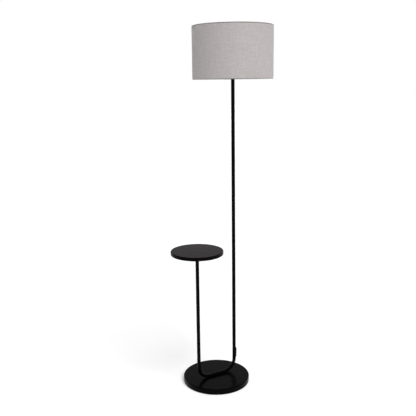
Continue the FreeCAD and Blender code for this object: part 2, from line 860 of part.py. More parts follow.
def make_shade_fabric():
    inside = shade_radius - fabric_thickness
    hem_inner = hem_outer - fabric_thickness
    low_lip = shade_bottom_z + fabric_thickness
    high_lip = shade_top_z - fabric_thickness
    low_end = shade_bottom_z + fabric_turn_in
    high_end = shade_top_z - fabric_turn_in
    edge = fabric_edge_radius
    steps = [
        (hem_inner, shade_bottom_z + edge),
        (hem_inner + edge, shade_bottom_z) + corner(hem_inner, shade_bottom_z, edge, 1, 1),
        (shade_radius - edge, shade_bottom_z),
        (shade_radius, shade_bottom_z + edge) + corner(shade_radius, shade_bottom_z, edge, -1, 1),
        (shade_radius, shade_top_z - edge),
        (shade_radius - edge, shade_top_z) + corner(shade_radius, shade_top_z, edge, -1, -1),
        (hem_inner + edge, shade_top_z),
        (hem_inner, shade_top_z - edge) + corner(hem_inner, shade_top_z, edge, 1, -1),
        (hem_inner, high_end),
        (hem_outer, high_end),
        (hem_outer, high_lip),
        (inside, high_lip),
        (inside, low_lip),
        (hem_outer, low_lip),
        (hem_outer, low_end),
        (hem_inner, low_end),
    ]
    fabric = turned(steps)
    half = wire_radius + arm_notch_gap
    notch_bottom = shade_bottom_z + fabric_thickness
    notch = Part.makeBox(
        fabric_thickness + 2 * past, 2 * half, fabric_turn_in + past,
        Vector(hem_inner - past, -half, notch_bottom),
    )
    fabric = cut_all(fabric, around(notch, arm_count, arm_first_angle, 0, 0))
    fabric.translate(Vector(post_x, tube_plane_y, 0))
    return fabric


# ---- bulb ------------------------------------------------------------------
def make_bulb_cap():
    steps = [(0, bulb_cap_z), (bulb_cap_radius - bulb_thread_depth, bulb_cap_z)]
    steps += thread_ridges(bulb_cap_radius, bulb_thread_depth, bulb_thread_pitch, bulb_cap_z, bulb_body_z)
    steps.append((0, bulb_body_z))
    return turned(steps, post_x, tube_plane_y)


def make_bulb_contact():
    return cylinder(bulb_contact_radius, contact_top_z, bulb_cap_z, post_x, tube_plane_y)


def make_bulb_body():
    rim = math.sqrt(bulb_globe_radius ** 2 - bulb_globe_cut ** 2)
    middle_z = bulb_body_z + bulb_body_height / 2
    middle = bulb_neck_radius + (rim - bulb_neck_radius) * bulb_body_swell
    steps = [
        (0, bulb_body_z),
        (bulb_neck_radius, bulb_body_z),
        (rim, bulb_globe_z, middle, middle_z),
        (0, bulb_globe_z),
    ]
    return turned(steps, post_x, tube_plane_y)


def make_bulb_board():
    high = bulb_globe_z + bulb_board_thickness
    return cylinder(bulb_board_radius, bulb_globe_z, high, post_x, tube_plane_y)


def make_bulb_globe():
    centre = Vector(post_x, tube_plane_y, bulb_globe_z + bulb_globe_cut)
    globe = Part.makeSphere(bulb_globe_radius, centre)
    globe = globe.cut(Part.makeSphere(bulb_globe_bore, centre))
    low = centre.z - bulb_globe_radius - past
    return globe.cut(cylinder(bulb_globe_radius + past, low, bulb_globe_z, post_x, tube_plane_y))


makers = {
    "base_cover": make_base_cover,
    "base_weight": make_base_weight,
    "base_pad": make_base_pad,
    "foot_bolts": make_foot_bolts,
    "foot_washers": make_foot_washers,
    "foot_bushes": make_foot_bushes,
    "u_tube": make_u_tube,
    "table_plug": make_table_plug,
    "table_flange": make_table_flange,
    "table_bolt": make_table_bolt,
    "table_screws": make_table_screws,
    "table_top": make_table_top,
    "tube_plugs": make_tube_plugs,
    "post_nipple": make_post_nipple,
    "post_upper": make_post_upper,
    "cord_gland": make_cord_gland,
    "supply_lead": make_supply_lead,
    "top_washer": make_top_washer,
    "holder_nipple": make_holder_nipple,
    "nipple_nut": make_nipple_nut,
    "holder_cap": make_holder_cap,
    "holder_body": make_holder_body,
    "holder_shell": make_holder_shell,
    "contact_block": make_contact_block,
    "centre_contact": make_centre_contact,
    "terminal_screws": make_terminal_screws,
    "wire_cores": make_wire_cores,
    "switch_bar": make_switch_bar,
    "shade_ring": make_shade_ring,
    "shade_spider": make_shade_spider,
    "shade_top_ring": make_shade_top_ring,
    "shade_liner": make_shade_liner,
    "shade_fabric": make_shade_fabric,
    "bulb_cap": make_bulb_cap,
    "bulb_contact": make_bulb_contact,
    "bulb_body": make_bulb_body,
    "bulb_board": make_bulb_board,
    "bulb_globe": make_bulb_globe,
}

for node, make in makers.items():
    shape = make()
    shape.exportStep("parts/" + node + ".step")
    box = shape.BoundBox
    print(
        node, len(shape.Solids), "solid(s), valid", shape.isValid(), "volume %.0f" % shape.Volume,
        "size %.1f %.1f %.1f" % (box.XLength, box.YLength, box.ZLength),
    )
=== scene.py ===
import math
import json
import bmesh
import bpy
import numpy as np
from mathutils import Matrix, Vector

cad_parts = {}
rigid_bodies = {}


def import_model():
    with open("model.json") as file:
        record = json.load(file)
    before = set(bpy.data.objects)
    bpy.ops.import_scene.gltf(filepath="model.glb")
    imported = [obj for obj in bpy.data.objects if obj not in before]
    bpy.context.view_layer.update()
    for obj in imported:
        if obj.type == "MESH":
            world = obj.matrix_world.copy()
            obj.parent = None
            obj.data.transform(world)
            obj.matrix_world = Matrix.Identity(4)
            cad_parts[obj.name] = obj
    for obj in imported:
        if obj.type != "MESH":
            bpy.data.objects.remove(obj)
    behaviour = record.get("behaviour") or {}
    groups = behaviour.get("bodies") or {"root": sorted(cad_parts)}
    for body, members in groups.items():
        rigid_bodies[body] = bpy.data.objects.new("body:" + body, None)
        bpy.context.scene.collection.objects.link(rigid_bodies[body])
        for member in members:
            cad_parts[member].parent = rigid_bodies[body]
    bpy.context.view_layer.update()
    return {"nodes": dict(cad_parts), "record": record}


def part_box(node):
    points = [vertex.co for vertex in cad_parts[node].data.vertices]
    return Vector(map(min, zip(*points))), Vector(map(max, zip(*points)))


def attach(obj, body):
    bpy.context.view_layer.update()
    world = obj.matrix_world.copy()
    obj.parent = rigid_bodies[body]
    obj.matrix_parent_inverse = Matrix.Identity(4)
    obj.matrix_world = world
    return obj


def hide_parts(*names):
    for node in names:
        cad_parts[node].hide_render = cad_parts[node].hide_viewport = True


for leftover in list(bpy.data.objects):  # the new file's cube, lamp and camera
    bpy.data.objects.remove(leftover)

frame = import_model()
nodes = frame["nodes"]
print("frame loaded:", len(nodes), "nodes")


# the photograph's viewpoint: metres and radians, measured from the middle of the base
viewpoint = {
    "heading": 0.5098,       # how far the view is turned from +Y towards +X
    "sideways": -0.02889,    # of the base's middle, along the picture
    "distance": 2.64866,
    "height": 1.36585,
    "pitchDown": 0.20219,
    "roll": -0.01343,
    "lens": 52.628,          # millimetres, as the sensor is
    "sensor": 36.0,
    "farthest": 200.0,       # what it still sees
}


def placeCamera(v):
    # right, forward and up are turned by heading and pitch, then right and up by the roll
    sinH, cosH = math.sin(v["heading"]), math.cos(v["heading"])
    sinP, cosP = math.sin(v["pitchDown"]), math.cos(v["pitchDown"])
    right = np.array([cosH, -sinH, 0.0])
    level = np.array([sinH, cosH, 0.0])
    forward = level * cosP + np.array([0.0, 0.0, -sinP])
    up = np.cross(right, forward)
    rolledRight = right * math.cos(v["roll"]) + up * math.sin(v["roll"])
    rolledUp = np.cross(rolledRight, forward)
    place = right * v["sideways"] - level * v["distance"] + np.array([0.0, 0.0, v["height"]])
    camera = bpy.data.objects.new("camera", bpy.data.cameras.new("camera"))
    bpy.context.scene.collection.objects.link(camera)
    turned = np.eye(4)
    turned[:3, :] = np.column_stack((rolledRight, rolledUp, -forward, place))
    camera.matrix_world = Matrix(turned.tolist())
    camera.data.sensor_width = v["sensor"]
    camera.data.lens = v["lens"]
    camera.data.clip_end = v["farthest"]
    bpy.context.scene.camera = camera
    return level, right


towards, across = placeCamera(viewpoint)
bpy.context.scene.view_settings.view_transform = "Standard"
print("camera placed")


# shader nodes: the owner is a material or the world
def node(owner, kind, **settings):
    made = owner.node_tree.nodes.new(kind)
    for key, value in settings.items():
        setattr(made, key, value)
    return made


def link(owner, source, target):
    owner.node_tree.links.new(source, target)


def combine(owner, operation, first, second):
    made = node(owner, "ShaderNodeMath", operation=operation)
    for socket, value in zip(made.inputs, (first, second)):
        if isinstance(value, (int, float)):
            socket.default_value = value
        else:
            link(owner, value, socket)
    return made.outputs[0]


def between(owner, factor, low, high, start=0.3, end=0.7, curve="LINEAR"):
    # a number that runs from low to high as the factor runs from start to end; noise is mostly in 0.3 to 0.7
    made = node(owner, "ShaderNodeMapRange", interpolation_type=curve)
    limits = {"From Min": start, "From Max": end, "To Min": low, "To Max": high}
    for socket, value in limits.items():
        made.inputs[socket].default_value = value
    link(owner, factor, made.inputs["Value"])
    return made.outputs["Result"]


def tint(owner, factor, first, second, start=0.3, end=0.7):
    # a colour that runs from first to second
    ramp = node(owner, "ShaderNodeValToRGB")
    for stop, position, colour in zip(ramp.color_ramp.elements, (start, end), (first, second)):
        stop.position = position
        stop.color = (*colour, 1.0)
    link(owner, factor, ramp.inputs[0])
    return ramp.outputs["Color"]


def finish(name, colour, roughness, metal=0.0, specular=0.5, coat=0.0, coatRoughness=0.1, sheen=0.0):
    material = bpy.data.materials.new(name)
    material.use_nodes = True
    shader = material.node_tree.nodes["Principled BSDF"]
    values = {
        "Base Color": (*colour, 1.0), "Roughness": roughness, "Metallic": metal,
        "Specular IOR Level": specular, "Coat Weight": coat, "Coat Roughness": coatRoughness,
        "Sheen Weight": sheen,
    }
    for socket, value in values.items():
        shader.inputs[socket].default_value = value
    return material


# studio: a level at which colours render about as they are written
studio = {
    "ambient": (0.375, 0.375, 0.38),     # from all round, on matt surfaces
    "backdropLow": 1.0,                  # what gloss sees near the horizon, behind the lamp
    "backdropHigh": 0.50,                # further up the wall
    "ceiling": 0.08,                     # and overhead
    "roomSide": 0.35,                    # share of it on the camera's side
    "wallFade": (0.10, 0.30),            # from low to high: sines of the angle above the floor
    "ceilingFade": (0.55, 0.85),         # from the wall to the ceiling, likewise
    "sideFade": (-0.4, 0.4),             # from the camera's side to the far one: cosines from the view
    "sunHeight": 53.0,                   # degrees above the floor
    "sunSide": 33.0,                     # degrees to the right of the camera
    "sunDistance": 5.0,                  # only where its marker stands
    "sunLevel": 2.36,
    "sunWidth": 40.0,
    "stripSide": 38.0,                   # the wide soft lamp at the right, for gloss
    "stripDistance": 3.0,
    "stripHeight": 1.6,
    "stripSize": (3.2, 1.3),
    "stripPower": 24.0,
    "floorSize": 60.0,
    "floorColour": (0.93, 0.93, 0.93),
    "floorRoughness": 0.9,
    "floorGlow": 0.18,                   # lifts the lit floor to white, shadows stay
}


def addLamp(name, kind, place, target):
    # a lamp shines along its own -Z
    lamp = bpy.data.objects.new(name, bpy.data.lights.new(name, kind))
    bpy.context.scene.collection.objects.link(lamp)
    back = np.array(place) - np.array(target)
    back = back / np.linalg.norm(back)
    side = np.cross([0.0, 0.0, 1.0], back)
    side = side / np.linalg.norm(side)
    turned = np.eye(4)
    turned[:3, :] = np.column_stack((side, np.cross(back, side), back, place))
    lamp.matrix_world = Matrix(turned.tolist())
    return lamp


def fromCamera(side):
    # level direction from the lamp towards the camera, turned by side degrees to the picture's right
    turn = math.radians(side)
    return -towards * math.cos(turn) + across * math.sin(turn)


def lightLamps(s):
    height = math.radians(s["sunHeight"])
    direction = fromCamera(s["sunSide"]) * math.cos(height) + np.array([0, 0, math.sin(height)])
    sun = addLamp("softSun", "SUN", direction * s["sunDistance"], (0.0, 0.0, 0.0))
    sun.data.energy = s["sunLevel"]
    sun.data.angle = math.radians(s["sunWidth"])
    sun.visible_glossy = False           # the gloss comes from the strip and the backdrop
    level = np.array([0.0, 0.0, s["stripHeight"]])
    strip = addLamp("stripLamp", "AREA", fromCamera(s["stripSide"]) * s["stripDistance"] + level, level)
    strip.data.shape = "RECTANGLE"
    strip.data.size, strip.data.size_y = s["stripSize"]
    strip.data.energy = s["stripPower"]
    strip.visible_diffuse = False


def lightWorld(s):
    # matt surfaces see the ambient level, the camera sees white, and gloss sees a wall that fades upwards, a
    # dark ceiling, and a dimmer room on the camera's side
    world = bpy.data.worlds.new("studio")
    bpy.context.scene.world = world
    world.use_nodes = True
    world.node_tree.nodes.clear()
    path = node(world, "ShaderNodeLightPath")
    seen = combine(world, "MAXIMUM", path.outputs["Is Camera Ray"], path.outputs["Is Glossy Ray"])
    seen = combine(world, "MAXIMUM", seen, path.outputs["Is Transmission Ray"])
    direction = node(world, "ShaderNodeTexCoord").outputs["Generated"]
    split = node(world, "ShaderNodeSeparateXYZ")
    link(world, direction, split.inputs[0])
    facing = node(world, "ShaderNodeVectorMath", operation="DOT_PRODUCT")
    facing.inputs[1].default_value = tuple(towards)
    link(world, direction, facing.inputs[0])
    fades = (
        (split.outputs["Z"], s["backdropLow"], s["backdropHigh"], *s["wallFade"]),
        (split.outputs["Z"], 1.0, s["ceiling"] / s["backdropHigh"], *s["ceilingFade"]),
        (facing.outputs["Value"], s["roomSide"], 1.0, *s["sideFade"]),
    )
    wall, ceiling, room = (between(world, *fade, curve="SMOOTHSTEP") for fade in fades)
    level = combine(world, "MULTIPLY", combine(world, "MULTIPLY", wall, ceiling), room)
    white = combine(world, "MAXIMUM", path.outputs["Is Camera Ray"], level)
    backdrop = node(world, "ShaderNodeBackground")
    backdrop.inputs["Color"].default_value = (1.0, 1.0, 1.0, 1.0)
    link(world, white, backdrop.inputs["Strength"])
    ambient = node(world, "ShaderNodeBackground")
    ambient.inputs["Color"].default_value = (*s["ambient"], 1.0)
    both = node(world, "ShaderNodeMixShader")
    for source, socket in zip((seen, ambient.outputs[0], backdrop.outputs[0]), both.inputs):
        link(world, source, socket)
    link(world, both.outputs[0], node(world, "ShaderNodeOutputWorld").inputs["Surface"])


def layFloor(s):
    # from below the floor is clear, so the underside can be looked at
    half = s["floorSize"] / 2
    mesh = bpy.data.meshes.new("studioFloor")
    corners = [(-half, -half, 0), (half, -half, 0), (half, half, 0), (-half, half, 0)]
    mesh.from_pydata(corners, [], [(0, 1, 2, 3)])
    floor = bpy.data.objects.new("studioFloor", mesh)
    bpy.context.scene.collection.objects.link(floor)
    material = finish("paleFloor", s["floorColour"], s["floorRoughness"], specular=0.0)
    shader = material.node_tree.nodes["Principled BSDF"]
    shader.inputs["Emission Color"].default_value = (1.0, 1.0, 1.0, 1.0)
    shader.inputs["Emission Strength"].default_value = s["floorGlow"]
    side = node(material, "ShaderNodeNewGeometry").outputs["Backfacing"]
    clear = node(material, "ShaderNodeBsdfTransparent").outputs[0]
    mix = node(material, "ShaderNodeMixShader")
    for source, socket in zip((side, shader.outputs[0], clear), mix.inputs):
        link(material, source, socket)
    link(material, mix.outputs[0], material.node_tree.nodes["Material Output"].inputs["Surface"])
    mesh.materials.append(material)


lightLamps(studio)
lightWorld(studio)
layFloor(studio)
print("studio lit")


# finishes: each is a Principled shader whose patterns read Object coordinates or the piece's UV map
def places(material, stretch=(1.0, 1.0, 1.0), uvMap=None):
    # a pattern's coordinates, in metres on the object or in the UV map, times stretch
    mapping = node(material, "ShaderNodeMapping")
    mapping.inputs["Scale"].default_value = stretch
    if uvMap:
        link(material, node(material, "ShaderNodeUVMap", uv_map=uvMap).outputs["UV"], mapping.inputs[0])
    else:
        link(material, node(material, "ShaderNodeTexCoord").outputs["Object"], mapping.inputs[0])
    return mapping.outputs[0]


def noise(material, coordinates, scale, detail, rough):
    # the dictionaries below give each noise as these last three: scale per metre, detail and roughness
    made = node(material, "ShaderNodeTexNoise")
    for socket, value in (("Scale", scale), ("Detail", detail), ("Roughness", rough)):
        made.inputs[socket].default_value = value
    link(material, coordinates, made.inputs["Vector"])
    return made.outputs["Fac"]


def dress(material, colour, roughness=None, relief=None, depth=0.0):
    # joins patterns to the shader; relief is a height from 0 to 1, and depth its size in metres
    shader = material.node_tree.nodes["Principled BSDF"]
    link(material, colour, shader.inputs["Base Color"])
    if roughness is not None:
        link(material, roughness, shader.inputs["Roughness"])
    if relief is not None:
        bump = node(material, "ShaderNodeBump")
        bump.inputs["Distance"].default_value = depth
        link(material, relief, bump.inputs["Height"])
        link(material, bump.outputs["Normal"], shader.inputs["Normal"])
    return material


paint = {
    "black": (0.0006, 0.0006, 0.0006), "worn": (0.0013, 0.0012, 0.0012), "wornSpan": (0.42, 0.8),
    "smooth": 0.19, "rough": 0.28, "specular": 0.036,
    "patch": (14.0, 4.0, 0.6), "peel": (900.0, 3.0, 0.55), "depth": 0.00002,
}


def blackPaint(p):
    # satin powder coat: a fine orange peel, patchy roughness and a trace of dust
    material = finish("satinBlackPowderCoat", p["black"], p["smooth"], specular=p["specular"])
    spot = places(material)
    peel = noise(material, spot, *p["peel"])
    patch = noise(material, spot, *p["patch"])
    colour = tint(material, patch, p["black"], p["worn"], *p["wornSpan"])
    return dress(material, colour, between(material, patch, p["smooth"], p["rough"]), peel, p["depth"])


lacquer = {
    "black": (0.0008, 0.0006, 0.0007), "grey": (0.0022, 0.0017, 0.0019),
    "smooth": 0.24, "rough": 0.34, "specular": 0.028,
    "gloss": (1.0, 0.90, 0.94),          # colour of its reflections
    "haze": 0.05, "hazeRough": 0.35,     # waxy bloom, seen at a low angle
    "hazeColour": (1.0, 0.45, 0.65),
    "stretch": (6.0, 90.0, 40.0), "grain": (3.0, 5.0, 0.65), "spray": (1400.0, 2.0, 0.5),
    "grainShare": 0.6, "depth": 0.00002,
}


def blackLacquer(p):
    # matt lacquer on board: a faint long grain telegraphs through, with a fine spray texture
    material = finish("mattBlackLacquer", p["black"], p["smooth"], specular=p["specular"], sheen=p["haze"])
    shader = material.node_tree.nodes["Principled BSDF"]
    shader.inputs["Specular Tint"].default_value = (*p["gloss"], 1.0)
    shader.inputs["Sheen Tint"].default_value = (*p["hazeColour"], 1.0)
    shader.inputs["Sheen Roughness"].default_value = p["hazeRough"]
    grain = noise(material, places(material, p["stretch"]), *p["grain"])
    spray = noise(material, places(material), *p["spray"])
    colour = tint(material, grain, p["black"], p["grey"])
    relief = combine(material, "ADD", combine(material, "MULTIPLY", grain, p["grainShare"]), spray)
    return dress(material, colour, between(material, grain, p["smooth"], p["rough"]), relief, p["depth"])


castIron = {
    "dark": (0.34, 0.33, 0.31), "light": (0.46, 0.45, 0.43), "smooth": 0.75, "rough": 0.95, "specular": 0.3,
    "stains": (18.0, 3.0, 0.5), "lumps": (160.0, 6.0, 0.65), "depth": 0.0006,
}


def castWeight(p):
    # grey casting: lumpy skin and slow stains
    material = finish("greyCastWeight", p["dark"], p["smooth"], specular=p["specular"])
    spot = places(material)
    lumps = noise(material, spot, *p["lumps"])
    colour = tint(material, noise(material, spot, *p["stains"]), p["dark"], p["light"])
    return dress(material, colour, between(material, lumps, p["smooth"], p["rough"]), lumps, p["depth"])


foam = {
    "dark": (0.010, 0.010, 0.010), "light": (0.024, 0.024, 0.024), "rough": 0.9, "specular": 0.15,
    "cells": 1100.0, "cellSpan": (0.1, 0.6), "depth": 0.00025,
}


def foamPad(p):
    # closed-cell foam sheet: small open cells on a dull black skin
    material = finish("blackFoamPad", p["dark"], p["rough"], specular=p["specular"])
    cells = node(material, "ShaderNodeTexVoronoi")
    cells.inputs["Scale"].default_value = p["cells"]
    link(material, places(material), cells.inputs["Vector"])
    colour = tint(material, cells.outputs["Distance"], p["dark"], p["light"], *p["cellSpan"])
    return dress(material, colour, None, cells.outputs["Distance"], p["depth"])


metalGrain = {"streaks": (60.0, 4.0, 0.6), "clouds": (90.0, 3.0, 0.5), "depth": 0.000015}
metals = {
    "zinc_steel": {
        "name": "zincPlate", "low": (0.55, 0.56, 0.58), "high": (0.66, 0.66, 0.67),
        "smooth": 0.22, "rough": 0.42, "stretch": (1, 1, 14)},
    "brass": {
        "name": "brightBrass", "low": (0.68, 0.50, 0.24), "high": (0.78, 0.60, 0.32),
        "smooth": 0.18, "rough": 0.34, "stretch": (1, 1, 30)},
    "nickel_cap": {
        "name": "nickelCap", "low": (0.66, 0.64, 0.59), "high": (0.76, 0.74, 0.70),
        "smooth": 0.14, "rough": 0.26, "stretch": (1, 1, 30)},
}


def brightMetal(p, grain):
    # plated metal: streaks along its turning or drawing, and cloudy tarnish
    material = finish(p["name"], p["low"], p["smooth"], metal=1.0)
    streaks = noise(material, places(material, p["stretch"]), *grain["streaks"])
    colour = tint(material, noise(material, places(material), *grain["clouds"]), p["low"], p["high"])
    roughness = between(material, streaks, p["smooth"], p["rough"])
    return dress(material, colour, roughness, streaks, grain["depth"])


plasticGrain = {"clouds": (30.0, 3.0, 0.5), "pores": (700.0, 3.0, 0.6), "depth": 0.00004, "specular": 0.4}
plastics = {
    "black_rubber": {
        "name": "blackRubber", "dark": (0.004, 0.004, 0.004), "light": (0.007, 0.007, 0.007),
        "smooth": 0.5, "rough": 0.7, "specular": 0.1},
    "black_sheath": {
        "name": "blackLeadSheath", "dark": (0.012, 0.012, 0.012), "light": (0.018, 0.018, 0.018),
        "smooth": 0.45, "rough": 0.6, "specular": 0.3},
    "core_insulation": {
        "name": "blueCoreInsulation", "dark": (0.03, 0.10, 0.42), "light": (0.04, 0.13, 0.50),
        "smooth": 0.4, "rough": 0.5},
    "black_moulding": {
        "name": "blackMoulding", "dark": (0.010, 0.010, 0.011), "light": (0.016, 0.016, 0.017),
        "smooth": 0.30, "rough": 0.45},
    "bulb_plastic": {
        "name": "whiteBulbPlastic", "dark": (0.78, 0.78, 0.76), "light": (0.82, 0.82, 0.80),
        "smooth": 0.26, "rough": 0.36, "specular": 0.5, "pores": (400.0, 3.0, 0.6)},
    "bulb_board": {
        "name": "whiteBoard", "dark": (0.72, 0.73, 0.70), "light": (0.80, 0.80, 0.78),
        "smooth": 0.4, "rough": 0.5},
}


def mouldedPlastic(own, grain):
    # fine spark-eroded grain with uneven gloss; a plastic's own values come before the common ones
    p = {**grain, **own}
    material = finish(p["name"], p["dark"], p["smooth"], specular=p["specular"])
    spot = places(material)
    pores = noise(material, spot, *p["pores"])
    clouds = noise(material, spot, *p["clouds"])
    colour = tint(material, clouds, p["dark"], p["light"])
    return dress(material, colour, between(material, clouds, p["smooth"], p["rough"]), pores, p["depth"])


wirePaint = {
    "dark": (0.72, 0.72, 0.70), "light": (0.82, 0.82, 0.80), "smooth": 0.28, "rough": 0.45, "specular": 0.45,
    "runs": (120.0, 3.0, 0.5), "depth": 0.00008,
}


def whiteWire(p):
    # thin white paint on wire, a little thicker in soft runs
    material = finish("whitePaintedWire", p["dark"], p["smooth"], specular=p["specular"])
    runs = noise(material, places(material), *p["runs"])
    colour = tint(material, runs, p["dark"], p["light"])
    return dress(material, colour, between(material, runs, p["smooth"], p["rough"]), runs, p["depth"])


linerFilm = {
    "dark": (0.76, 0.75, 0.72), "light": (0.83, 0.82, 0.80), "smooth": 0.36, "rough": 0.52, "specular": 0.4,
    "clouds": (9.0, 3.0, 0.5), "lines": (12.0, 3.0, 0.6), "lineStretch": (1.0, 1.0, 220.0), "depth": 0.00006,
}


def whiteLiner(p):
    # styrene film glued under the cloth: the weave shows through as a faint linen print
    material = finish("whiteStyreneLiner", p["dark"], p["smooth"], specular=p["specular"])
    lines = noise(material, places(material, p["lineStretch"]), *p["lines"])
    colour = tint(material, noise(material, places(material), *p["clouds"]), p["dark"], p["light"])
    return dress(material, colour, between(material, lines, p["smooth"], p["rough"]), lines, p["depth"])


opal = {
    "dark": (0.83, 0.83, 0.81), "light": (0.88, 0.88, 0.86), "smooth": 0.18, "rough": 0.28, "specular": 0.5,
    "coat": 0.3, "coatRoughness": 0.12, "clouds": (22.0, 2.0, 0.4),
}


def opalGlobe(p):
    # milky blown plastic: smooth, slightly deeper towards thick places
    material = finish(
        "opalGlobe", p["dark"], p["smooth"], specular=p["specular"],
        coat=p["coat"], coatRoughness=p["coatRoughness"])
    clouds = noise(material, places(material), *p["clouds"])
    colour = tint(material, clouds, p["dark"], p["light"])
    return dress(material, colour, between(material, clouds, p["smooth"], p["rough"]))


finishes = {
    "black_paint": blackPaint(paint),
    "black_lacquer": blackLacquer(lacquer),
    "cast_weight": castWeight(castIron),
    "foam_pad": foamPad(foam),
    "white_wire": whiteWire(wirePaint),
    "white_liner": whiteLiner(linerFilm),
    "opal_globe": opalGlobe(opal),
}
for slot, metal in metals.items():
    finishes[slot] = brightMetal(metal, metalGrain)
for slot, plastic in plastics.items():
    finishes[slot] = mouldedPlastic(plastic, plasticGrain)
slotOf = {part["node"]: part["material_slot"] for part in frame["record"]["subparts"]}
for name, piece in nodes.items():
    if slotOf[name] in finishes:         # the linen comes with the scene's own cloth
        piece.data.materials.clear()
        piece.data.materials.append(finishes[slotOf[name]])
print("finishes made:", len(finishes))


# surfaces: points in rows and columns become a mesh of quads
def surfaceMesh(name, points, uv=None, closed=True, keep=None, spots=((0.0, 0.0, 0.0),)):
    # points is rows by columns by 3; closed joins the last column to the first; keep marks the quads to make;
    # the surface is repeated at each of the spots
    rows, columns = points.shape[:2]
    index = np.arange(rows * columns).reshape(rows, columns)
    beside = np.roll(index, -1, axis=1)
    quads = np.stack((index[:-1], beside[:-1], beside[1:], index[1:]), axis=-1)
    if not closed:
        quads = quads[:, :-1]
    quads = quads[keep] if keep is not None else quads.reshape(-1, 4)
    copies = np.arange(len(spots)) * index.size
    quads = (quads[None] + copies[:, None, None]).reshape(-1, 4)
    vertices = (points.reshape(1, -1, 3) + np.array(spots)[:, None]).reshape(-1, 3)
    mesh = bpy.data.meshes.new(name)
    mesh.from_pydata(vertices.tolist(), [], quads.tolist())
    if uv is not None:
        layer = mesh.uv_layers.new(name="cloth")
        corners = np.empty(len(mesh.loops), dtype=np.int32)
        mesh.loops.foreach_get("vertex_index", corners)
        layer.data.foreach_set("uv", uv.reshape(-1, 2)[corners].astype(np.float32).ravel())
    mesh.polygons.foreach_set("use_smooth", np.ones(len(mesh.polygons), dtype=bool))
    mesh.update()
    piece = bpy.data.objects.new(name, mesh)
    bpy.context.scene.collection.objects.link(piece)
    return piece


def mergeDoubles(piece):
    # joins the points that lie on each other, where a grid closes on a line or a pole
    work = bmesh.new()
    work.from_mesh(piece.data)
    bmesh.ops.remove_doubles(work, verts=work.verts, dist=1e-6)
    work.to_mesh(piece.data)
    work.free()
    piece.data.update()


def thicken(piece, thickness, offset):
    # to both sides of the surface with offset 0, all on its back with -1
    solid = piece.modifiers.new("thickness", "SOLIDIFY")
    solid.thickness = thickness
    solid.offset = offset


def eased(t):
    # 0 below 0, 1 above 1 and a smooth S between: t * t * (3 - 2 * t)
    t = np.clip(t, 0.0, 1.0)
    return t * t * (3.0 - 2.0 * t)


# the shade's cloth: linen rolled into a drum, turned in over both wire rings and lapped at the back
drumCloth = {
    "thickness": 0.0007,
    "ringGap": 0.0003,          # turned edge to the wire's inner side
    "linerWall": 0.00055,
    "linerGap": 0.00008,        # turned edge to the liner's inner face
    "turnIn": 0.0095,           # height of the turned edge above the lip
    "upright": 0.2,             # share of the turned edge that stays at the wire before it eases outwards
    "lapAngle": 62.0,           # where the lap lies, degrees from +X
    "lapGap": 0.0001,           # between its two layers
    "lapColumns": 9, "lapRamp": 3,                 # steps of the lap, and of the rise on to it
    "stepsPerDegree": 1,
    "hollow": 0.00015,          # the cloth dips where the liner ends
    "hollowHeight": 0.0058,
    "hollowWidth": 0.0013,
    "waver": 0.00022,           # the drum isn't quite round
    "waves": ((1.0, 3, 4, 0.0), (0.5, 7, -5, 1.3), (0.3, 17, 9, 0.0)),     # share, count, lean, start
    "calmEnd": 0.02,            # share of the height at each end where the waver stays small
    "slit": 0.0034,             # half width of the slits for the arms
    "slitRollRows": 3,          # how far they reach into the roll
    "armAngles": (90.0, 210.0, 330.0),
    "edgeHeight": 0.014,        # above the lip, up to where the wall's rows lie closer
    "wallRows": 34, "edgeRows": 14, "rollRows": 14, "turnRows": 8,
    "cut": (1.125, 0.250),      # the strip before it is rolled and turned in
}


def drumProfile(c, outer, low, high, wireInner, linerInner):
    # half the cloth's section, from the free edge inside, over the free roll round the wire, to mid height:
    # the turned edge eases from the roll's inner side to the liner, the roll is a half circle, and the wall
    # is straight but for a dip, a bell curve of the height, where the liner ends
    wall = outer - c["thickness"] / 2
    inside = wireInner - c["ringGap"] - c["thickness"] / 2
    edge = linerInner - c["linerGap"] - c["thickness"] / 2
    rollRadius = (wall - inside) / 2
    rollHeight = low + c["thickness"] / 2 + rollRadius
    t = np.linspace(1.0, 0.0, c["turnRows"], endpoint=False)
    turnRadius = inside + (edge - inside) * eased((t - c["upright"]) / (1.0 - c["upright"]))
    turnHeight = rollHeight + (low + c["turnIn"] - rollHeight) * t
    a = np.linspace(math.pi, 2 * math.pi, c["rollRows"], endpoint=False)
    rollX = (wall + inside) / 2 + rollRadius * np.cos(a)
    rollZ = rollHeight + rollRadius * np.sin(a)
    middle = (low + high) / 2
    near = np.linspace(rollHeight, low + c["edgeHeight"], c["edgeRows"], endpoint=False)
    far = np.linspace(low + c["edgeHeight"], middle, c["wallRows"] // 2 + 1)
    wallZ = np.concatenate((near, far))
    dip = c["hollow"] * np.exp(-(((wallZ - low - c["hollowHeight"]) / c["hollowWidth"]) ** 2))
    radius = np.concatenate((turnRadius, rollX, wall - dip))
    height = np.concatenate((turnHeight, rollZ, wallZ))
    # the upper half is the lower one turned over
    return np.concatenate((radius, radius[-2::-1])), np.concatenate((height, 2 * middle - height[-2::-1]))


def slowRipple(c, angle, along):
    # waver times the sum of share * sin(count * angle + lean * along + start), which fades towards both ends;
    # along is the height from 0 to 1
    total = 0.0
    for share, count, lean, start in c["waves"]:
        total = total + share * np.sin(count * angle[None, :] + lean * along[:, None] + start)
    fade = np.sin(np.pi * np.clip(along, c["calmEnd"], 1.0 - c["calmEnd"]))
    return c["waver"] * total * fade[:, None]


